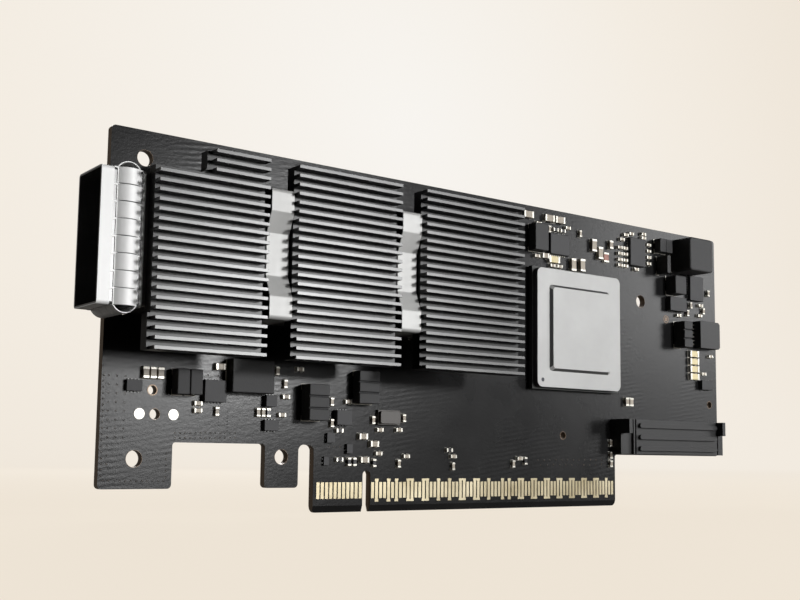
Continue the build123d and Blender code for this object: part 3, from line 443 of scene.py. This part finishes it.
# Moulded and pressed bodies with their edges broken: the width in mm for each CAD node
softSet = {
    "power_inductor_bodies": 0.16,
    "three_cell_inductor_bodies": 0.14,
    "corner_inductor": 0.18,
    "capacitor_bodies": 0.05,
    "capacitor_terminals": 0.06,
    "resistor_bodies": 0.03,
    "resistor_terminals": 0.03,
    "tantalum_bodies": 0.12,
    "tantalum_terminals": 0.04,
    "board_fuse_body": 0.08,
    "board_fuse_terminals": 0.06,
    "small_chips": 0.05,
    "flash_memory": 0.07,
    "voltage_controller": 0.07,
    "clock_oscillator_lid": 0.06,
    "clock_oscillator_base": 0.05,
    "back_chips": 0.07,
    "back_capacitor_bodies": 0.05,
    "back_capacitor_terminals": 0.06,
    "aux_connector_housing": 0.12,
    "side_connector_housing": 0.1,
    "port_connector_housing": 0.1,
    "chip_lid": 0.12,
    "chip_substrate": 0.05,
    "heat_sink": 0.03,
}
softFlat = math.radians(1)     # neighbouring faces this close to one plane are joined first
softCorner = math.radians(40)  # edges sharper than this are broken


def softPiece(nodeName, width):
    shape = cleanCopy(nodeName)
    bmesh.ops.dissolve_limit(shape, angle_limit=softFlat, verts=shape.verts, edges=shape.edges)
    sharp = [e for e in shape.edges if len(e.link_faces) == 2 and e.calc_face_angle(0) > softCorner]
    bmesh.ops.bevel(shape, geom=sharp, offset=width * mm, offset_type="OFFSET", segments=2, profile=0.5,
                    affect="EDGES", material=-1, clamp_overlap=True)
    bmesh.ops.triangulate(shape, faces=[f for f in shape.faces if len(f.verts) > 4])
    name = "soft" + "".join(word.capitalize() for word in nodeName.split("_"))
    piece = addPiece(name, shape, finishFor(nodeName))
    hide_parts(nodeName)


for nodeName, width in softSet.items():
    softPiece(nodeName, width)
report("softened bodies")


# Shapes that several of the small pieces are made of
pieceSunk = 0.02  # mm that added pieces reach into what they stand on


def slabAt(shape, low, high):
    size = high - low
    middle = (low + high) / 2
    matrix = Matrix.Translation(middle) @ Matrix.Diagonal((*size, 1))
    return bmesh.ops.create_cube(shape, size=1, matrix=matrix)["verts"]


def plugAt(shape, x, z, level, radius, topRadius, rise, sides, side=-1):
    # A round plug along Y whose foot is sunk below level; side is -1 in front of the board and 1 behind it
    depth = (rise + pieceSunk) * mm
    middle = level + side * (rise - pieceSunk) / 2 * mm
    turn = Matrix.Rotation(math.radians(-90 * side), 4, "X")
    matrix = Matrix.Translation((x * mm, middle, z * mm)) @ turn
    return bmesh.ops.create_cone(shape, cap_ends=True, segments=sides, radius1=radius * mm,
                                 radius2=topRadius * mm, depth=depth, matrix=matrix)["verts"]


def outerFace(verts, side=-1):
    faces = [f for v in verts for f in v.link_faces]
    face = max(faces, key=lambda f: f.calc_center_median().y * side)
    face.normal_update()
    return face


def spunRing(shape, x, z, profile, sides):
    # profile is the radius in mm and Y in metres of each corner round the ring's section
    verts = [shape.verts.new((x * mm + radius * mm, level, z * mm)) for radius, level in profile]
    edges = [shape.edges.new((verts[i - 1], verts[i])) for i in range(len(verts))]
    bmesh.ops.spin(shape, geom=verts + edges, cent=(x * mm, 0, z * mm), axis=(0, 1, 0), angle=math.tau,
                   steps=sides, use_merge=True)


# Solder drawn up round the ends of the chip parts
filletSet = {
    "nodes": ("capacitor_terminals", "resistor_terminals", "tantalum_terminals", "board_fuse_terminals",
              "inductor_feet"),
    "near": 0.2,    # mm, terminals that end further than this from the board get none
    "lift": 0.005,  # mm its foot stands up from the board
    "reach": 0.14,  # mm out from the terminal
    "most": 0.6,    # mm, the highest it climbs
    # The share of the reach drawn in, and the share of the height climbed
    "steps": ((0.57, 0.1), (0.29, 0.2), (0.11, 0.2)),
}


def makeFillets(s):
    shape = bmesh.new()
    reach = s["reach"] * mm
    for nodeName in s["nodes"]:
        for low, high in islandBoxes(nodeName):
            if abs(high.y - boardFront) > s["near"] * mm:
                continue
            climb = min(boardFront - low.y, s["most"] * mm)
            footLow = Vector((low.x - reach, boardFront - s["lift"] * mm, low.z - reach))
            footHigh = Vector((high.x + reach, boardFront + pieceSunk * mm, high.z + reach))
            top = outerFace(slabAt(shape, footLow, footHigh))
            for inward, upward in s["steps"]:
                bmesh.ops.inset_region(shape, faces=[top], thickness=inward * reach, depth=upward * climb,
                                       use_even_offset=True)
    addPiece("solderFillets", shape, finishOfSlot["tin_ends"])


makeFillets(filletSet)
report("solder")


# Tented vias: runs of them as first and last place and the step between, in mm
viaSet = {
    "radius": 0.2,
    "topShare": 0.8,     # of the radius
    "rise": 0.035,
    "dimple": 0.45,      # share of the rise
    "dimpleInset": 0.4,  # share of the radius
    "sides": 12,
    "runs": [
        ((-55.7, 24.45), (-55.55, 7.1), 1.02),
        ((-54.75, 24.45), (-54.6, 9.15), 1.53),
        ((-53.25, 24.45), (-53.25, 13.75), 1.53),
        ((-51.7, 24.45), (-51.75, 13.75), 1.53),
        ((-55.1, 6.25), (-43.9, 6.2), 1.02),
        ((-43.5, 11.1), (-43.5, 6.9), 0.95),
        ((-42.0, 14.75), (-29.9, 15.0), 1.05),
        ((-42.0, 13.85), (-29.9, 14.05), 1.05),
        ((47.3, 10.65), (68.1, 10.8), 1.85),
        ((48.2, 9.5), (68.1, 9.6), 2.05),
        ((-9.1, 12.75), (-6.5, 12.75), 1.25),
        ((-35.8, 25.5), (-33.8, 25.4), 2.0),
    ],
}
tentedSet = {**lacquerSet, "field": (0.004, 0.004, 0.004), "mottle": (0.007, 0.007, 0.007)}
tentedLacquer = boardMaterial(tentedSet)


def placesAlong(first, last, step):
    count = max(1, round(math.dist(first, last) / step))
    return [Vector(first).lerp(Vector(last), i / count) for i in range(count + 1)]


def viaAt(shape, x, z, radius, side=-1):
    s = viaSet
    level = boardFront if side < 0 else boardBack
    verts = plugAt(shape, x, z, level, radius, radius * s["topShare"], s["rise"], s["sides"], side)
    inset = s["dimpleInset"] * radius * mm
    bmesh.ops.inset_individual(shape, faces=[outerFace(verts, side)], thickness=inset,
                               depth=-s["dimple"] * s["rise"] * mm)


def makeVias(s):
    shape = bmesh.new()
    for first, last, step in s["runs"]:
        for x, z in placesAlong(first, last, step):
            viaAt(shape, x, z, s["radius"])
    addPiece("frontVias", shape, tentedLacquer, smooth=True)


# Copper lines that stand up through the lacquer, in mm
lineSet = {
    "width": 0.16,
    "rise": 0.02,
    "shortLevels": (22.9, 21.35, 19.85, 18.3, 16.8, 15.3),
    "shortSpan": (-53.0, -51.95),
    "bundles": [  # how many lines, their spacing, the first line's path
        (9, 0.62, ((29.9, 13.2), (34.0, 13.2), (37.2, 14.6), (41.7, 14.6))),
        (7, 0.58, ((-37.2, 16.4), (-33.4, 16.4), (-31.6, 15.4), (-29.0, 15.4))),
    ],
    "slants": [
        ((61.7, 9.2), (62.6, 8.2), (64.7, 6.6)),
        ((62.9, 9.2), (63.6, 8.4), (65.6, 6.9)),
        ((64.1, 9.2), (64.7, 8.5), (66.4, 7.2)),
    ],
}


def barAt(shape, a, b, width, rise):
    start, end = Vector((a[0], 0, a[1])) * mm, Vector((b[0], 0, b[1])) * mm
    along = end - start
    middle = (start + end) / 2 + Vector((0, boardFront - (rise - pieceSunk) / 2 * mm, 0))
    turn = Matrix.Rotation(-math.atan2(along.z, along.x), 4, "Y")
    size = Matrix.Diagonal((along.length + width * mm, (rise + pieceSunk) * mm, width * mm, 1))
    bmesh.ops.create_cube(shape, size=1, matrix=Matrix.Translation(middle) @ turn @ size)


def makeLines(s):
    left, right = s["shortSpan"]
    paths = [((left, z), (right, z)) for z in s["shortLevels"]] + s["slants"]
    for count, spacing, path in s["bundles"]:
        paths += [[(x, z + i * spacing) for x, z in path] for i in range(count)]
    shape = bmesh.new()
    for path in paths:
        for a, b in zip(path, path[1:]):
            barAt(shape, a, b, s["width"], s["rise"])
    addPiece("frontLines", shape, finishOfSlot["solder_mask"])


makeVias(viaSet)
makeLines(lineSet)
report("vias and lines")


# Plated walls and copper rings at the holes, X, Z, hole radius and ring width in mm, and one fiducial
ringSet = {
    "sleeve": 0.03,   # mm of plating on the wall
    "bite": 0.005,    # mm the plating reaches into the board
    "rise": 0.02,
    "sides": 40,
    "holes": [
        (boardLow.x / mm + 6.45, 10.1, 1.525, 0),
        (boardLow.x / mm + 6.45, 63.8, 1.525, 0),
        (-19.9, 10.7, 1.45, 0),
        (33.75, 31.25, 1.6, 0),
        (82.35, 50.05, 1.6, 0),
        (-46.0, 18.0, 1.0, 0),
        (-46.6, 22.25, 0.85, 0.12),
        (108.6, 25.3, 0.85, 0.12),
        (55.2, 16.3, 0.85, 0.12),
    ],
    "fiducial": (91.9, 46.4),
    "fiducialRadii": (0.5, 0.78, 1.0),  # the dot, then the ring round it
}


def makeRings(s):
    shape = bmesh.new()
    front, back = boardFront - s["rise"] * mm, boardBack + s["rise"] * mm
    inFront, inBack = boardFront + pieceSunk * mm, boardBack - pieceSunk * mm
    for x, z, hole, width in s["holes"]:
        wall, bite = hole - s["sleeve"], hole + s["bite"]
        if width:
            land = hole + width
            profile = [(wall, front), (land, front), (land, inFront), (bite, inFront),
                       (bite, inBack), (land, inBack), (land, back), (wall, back)]
        else:
            profile = [(wall, front), (bite, front), (bite, back), (wall, back)]
        spunRing(shape, x, z, profile, s["sides"])
    x, z = s["fiducial"]
    dot, inner, outer = s["fiducialRadii"]
    spunRing(shape, x, z, [(inner, front), (outer, front), (outer, inFront), (inner, inFront)], s["sides"])
    plugAt(shape, x, z, boardFront, dot, dot, s["rise"], s["sides"])
    bmesh.ops.recalc_face_normals(shape, faces=shape.faces)
    addPiece("platedHoles", shape, metalMaterial("hole copper"))


# The dark floor of the dimple that marks the lid's first corner
markSet = {"inset": 1.6, "radius": 0.44, "deep": 0.12, "rise": 0.01, "sides": 24}  # mm


def makeMark(s):
    low = islandBoxes("chip_lid")[0][0]
    rim = cleanCopy("chip_lid")
    flange = min(v.co.y for v in rim.verts if v.co.x < low.x + s["inset"] * mm)
    rim.free()
    shape = bmesh.new()
    plugAt(shape, low.x / mm + s["inset"], low.z / mm + s["inset"], flange + s["deep"] * mm, s["radius"],
           s["radius"], s["rise"], s["sides"])
    addPiece("lidMark", shape, finishOfSlot["silicon"])


makeRings(ringSet)
makeMark(markSet)
report("plated holes")


# The far side: vias and test pads set out from a fixed seed, clear of the holes and of the parts there
backSet = {
    "seed": 11,
    "grid": 0.65,  # mm, as the rest here
    "vias": 420,
    "pads": 46,
    "padRadius": 0.45,
    "across": (-53.5, 108.5),
    "upward": (15.5, 66.5),
    "holeClear": 0.8,
    "partClear": 0.6,
    "between": 0.1,
    "proud": 0.1,  # what ends further than this in front of the far side is passed over
    "parts": ("back_capacitor_terminals", "back_capacitor_bodies", "back_chips", "back_chip_leads",
              "port_cage"),
}


def makeBack(s):
    chance = random.Random(s["seed"])
    rounds = [(x, z, hole + s["holeClear"]) for x, z, hole, width in ringSet["holes"]]
    blocks = []
    for nodeName in s["parts"]:
        for low, high in islandBoxes(nodeName):
            if high.y > boardBack - s["proud"] * mm:
                blocks.append((low.x / mm - s["partClear"], high.x / mm + s["partClear"],
                               low.z / mm - s["partClear"], high.z / mm + s["partClear"]))

    def isFree(x, z, radius):
        inBlock = any(a - radius < x < b + radius and c - radius < z < d + radius for a, b, c, d in blocks)
        return not inBlock and all(math.dist((x, z), r[:2]) > r[2] + radius for r in rounds)

    def scatter(name, count, radius, finish):
        shape = bmesh.new()
        placed = 0
        while placed < count:
            x = round(chance.uniform(*s["across"]) / s["grid"]) * s["grid"]
            z = round(chance.uniform(*s["upward"]) / s["grid"]) * s["grid"]
            if isFree(x, z, radius):
                rounds.append((x, z, radius + s["between"]))
                viaAt(shape, x, z, radius, side=1)
                placed += 1
        addPiece(name, shape, finish, smooth=True)

    scatter("backTestPads", s["pads"], s["padRadius"], finishOfSlot["tin_ends"])
    scatter("backVias", s["vias"], viaSet["radius"], tentedLacquer)


makeBack(backSet)
report("far side")


# Studio: a pale floor that curves up into a backdrop, bright to the camera and dim to what mirrors it
studioSet = {
    # glow is a painted pool of light on the backdrop: its seen colour is brightest at glowAt and dims with
    # distance from it
    "glow": ((0.0, (0.985, 0.96, 0.92)), (0.4, (0.945, 0.885, 0.8)), (0.65, (0.915, 0.845, 0.75)),
             (1.0, (0.88, 0.8, 0.69))),
    "glowAt": (0.95, 1.3, 0.55),  # the brightest place, in metres
    "glowReach": 1.7,             # metres from there to the dimmest
    "floorSeen": (0.85, 0.8, 0.72),
    "floorBounce": (0.07, 0.065, 0.06),
    "floorRough": 0.9,
    "floorDrop": 0.2,     # mm under the card
    "floorSide": 6.0,     # metres, as the rest here
    "wallFar": 1.2,
    "wallRise": 2.0,
    "wallLean": 0.2,
    "curve": 0.5,
    "curveSteps": 12,
    "seenShare": 0.95,
    "mirroredShare": 0.12,  # the room the card mirrors is far dimmer than the backdrop
}


def paleMaterial(s):
    material, nodes, links, shader = newMaterial("pale studio")
    rays = nodes.new("ShaderNodeLightPath")
    base = mixColour(nodes, links, rays.outputs["Is Camera Ray"], s["floorBounce"], s["floorSeen"])
    links.new(base, shader.inputs["Base Color"])
    shader.inputs["Roughness"].default_value = s["floorRough"]
    away = nodes.new("ShaderNodeVectorMath")
    away.operation = "DISTANCE"
    away.inputs[1].default_value = s["glowAt"]
    links.new(objectPoint(nodes, links), away.inputs[0])
    reach = mathNode(nodes, links, "DIVIDE", away.outputs["Value"], s["glowReach"])
    seen = nodes.new("ShaderNodeEmission")
    links.new(ramp(nodes, links, reach, s["glow"]), seen.inputs["Color"])
    seen.inputs["Strength"].default_value = 1
    mix = nodes.new("ShaderNodeMixShader")
    straight = mathNode(nodes, links, "MULTIPLY", rays.outputs["Is Camera Ray"], s["seenShare"])
    mirrored = mathNode(nodes, links, "MULTIPLY", rays.outputs["Is Glossy Ray"], s["mirroredShare"])
    share = mathNode(nodes, links, "MAXIMUM", straight, mirrored)
    links.new(share, mix.inputs[0])
    links.new(shader.outputs[0], mix.inputs[1])
    links.new(seen.outputs[0], mix.inputs[2])
    links.new(mix.outputs[0], nodes["Material Output"].inputs["Surface"])
    return material


def makeStudio(s):
    shape = bmesh.new()
    half = s["floorSide"] / 2
    level = boardLow.z - s["floorDrop"] * mm
    corners = [(-half, -half), (half, -half), (half, s["wallFar"]), (-half, s["wallFar"])]
    flat = shape.faces.new([shape.verts.new((x, y, level)) for x, y in corners])
    back = max(flat.edges, key=lambda e: sum(v.co.y for v in e.verts))
    rise = bmesh.ops.extrude_edge_only(shape, edges=[back])
    lifted = [v for v in rise["geom"] if isinstance(v, bmesh.types.BMVert)]
    bmesh.ops.translate(shape, verts=lifted, vec=(0, s["wallLean"], s["wallRise"]))
    bmesh.ops.bevel(shape, geom=[back], offset=s["curve"], offset_type="OFFSET", segments=s["curveSteps"],
                    profile=0.5, affect="EDGES", material=-1)
    mesh = bpy.data.meshes.new("floor")
    shape.to_mesh(mesh)
    shape.free()
    mesh.shade_smooth()
    floor = bpy.data.objects.new("floor", mesh)
    floor.data.materials.append(paleMaterial(s))
    scene.collection.objects.link(floor)


# Lamps: a small key low at the right, softboxes that the lacquer and the metal mirror, and weak fills.
# Places, aims and sizes are in metres and powers in watts
lampSet = {
    "key": {"place": (0.19, -0.39, 0.105), "aim": (0.01, 0, 0.045), "size": 0.06, "power": 1.25},
    "right softbox": {"place": (0.475, -0.25, 0.092), "aim": (0.09, 0, 0.045), "size": 0.24, "power": 0.36},
    "high softbox": {"place": (0.42, -0.26, 0.15), "aim": (0.09, 0, 0.055), "size": 0.16, "power": 0.32},
    "rear fill": {"place": (0.22, 0.45, 0.28), "aim": (0.03, 0, 0.035), "size": 0.3, "power": 1.6},
    "left fill": {"place": (-0.45, 0.22, 0.16), "aim": (-0.02, 0, 0.035), "size": 0.2, "power": 0.3},
    "low softbox": {"place": (0.1, -0.36, 0.03), "aim": (-0.04, 0, 0.01), "size": 0.08, "power": 0.25},
}


def makeLamp(name, s):
    data = bpy.data.lights.new(name, "AREA")
    data.shape = "DISK"
    data.size = s["size"]
    data.energy = s["power"]
    lamp = bpy.data.objects.new(name, data)
    lamp.visible_camera = False
    lamp.location = s["place"]
    aim = Vector(s["aim"]) - Vector(s["place"])
    lamp.rotation_euler = aim.to_track_quat("-Z", "Y").to_euler()
    scene.collection.objects.link(lamp)


makeStudio(studioSet)
for name, setting in lampSet.items():
    makeLamp(name, setting)


# The room beyond the backdrop: pale where it is looked at, dim as a light
worldSet = {
    "seen": (0.92, 0.85, 0.76),
    "fill": (1, 0.98, 0.95),
    "fillStrength": 0.02,
}


def makeWorld(s):
    world = bpy.data.worlds.new("soft room")
    scene.world = world
    world.use_nodes = True
    nodes = world.node_tree.nodes
    links = world.node_tree.links
    dim = nodes["Background"]
    dim.inputs["Color"].default_value = (*s["fill"], 1)
    dim.inputs["Strength"].default_value = s["fillStrength"]
    pale = nodes.new("ShaderNodeBackground")
    pale.inputs["Color"].default_value = (*s["seen"], 1)
    rays = nodes.new("ShaderNodeLightPath")
    mix = nodes.new("ShaderNodeMixShader")
    links.new(rays.outputs["Is Camera Ray"], mix.inputs[0])
    links.new(dim.outputs[0], mix.inputs[1])
    links.new(pale.outputs[0], mix.inputs[2])
    links.new(mix.outputs[0], nodes["World Output"].inputs["Surface"])


makeWorld(worldSet)
scene.view_settings.view_transform = "Standard"
report("studio")
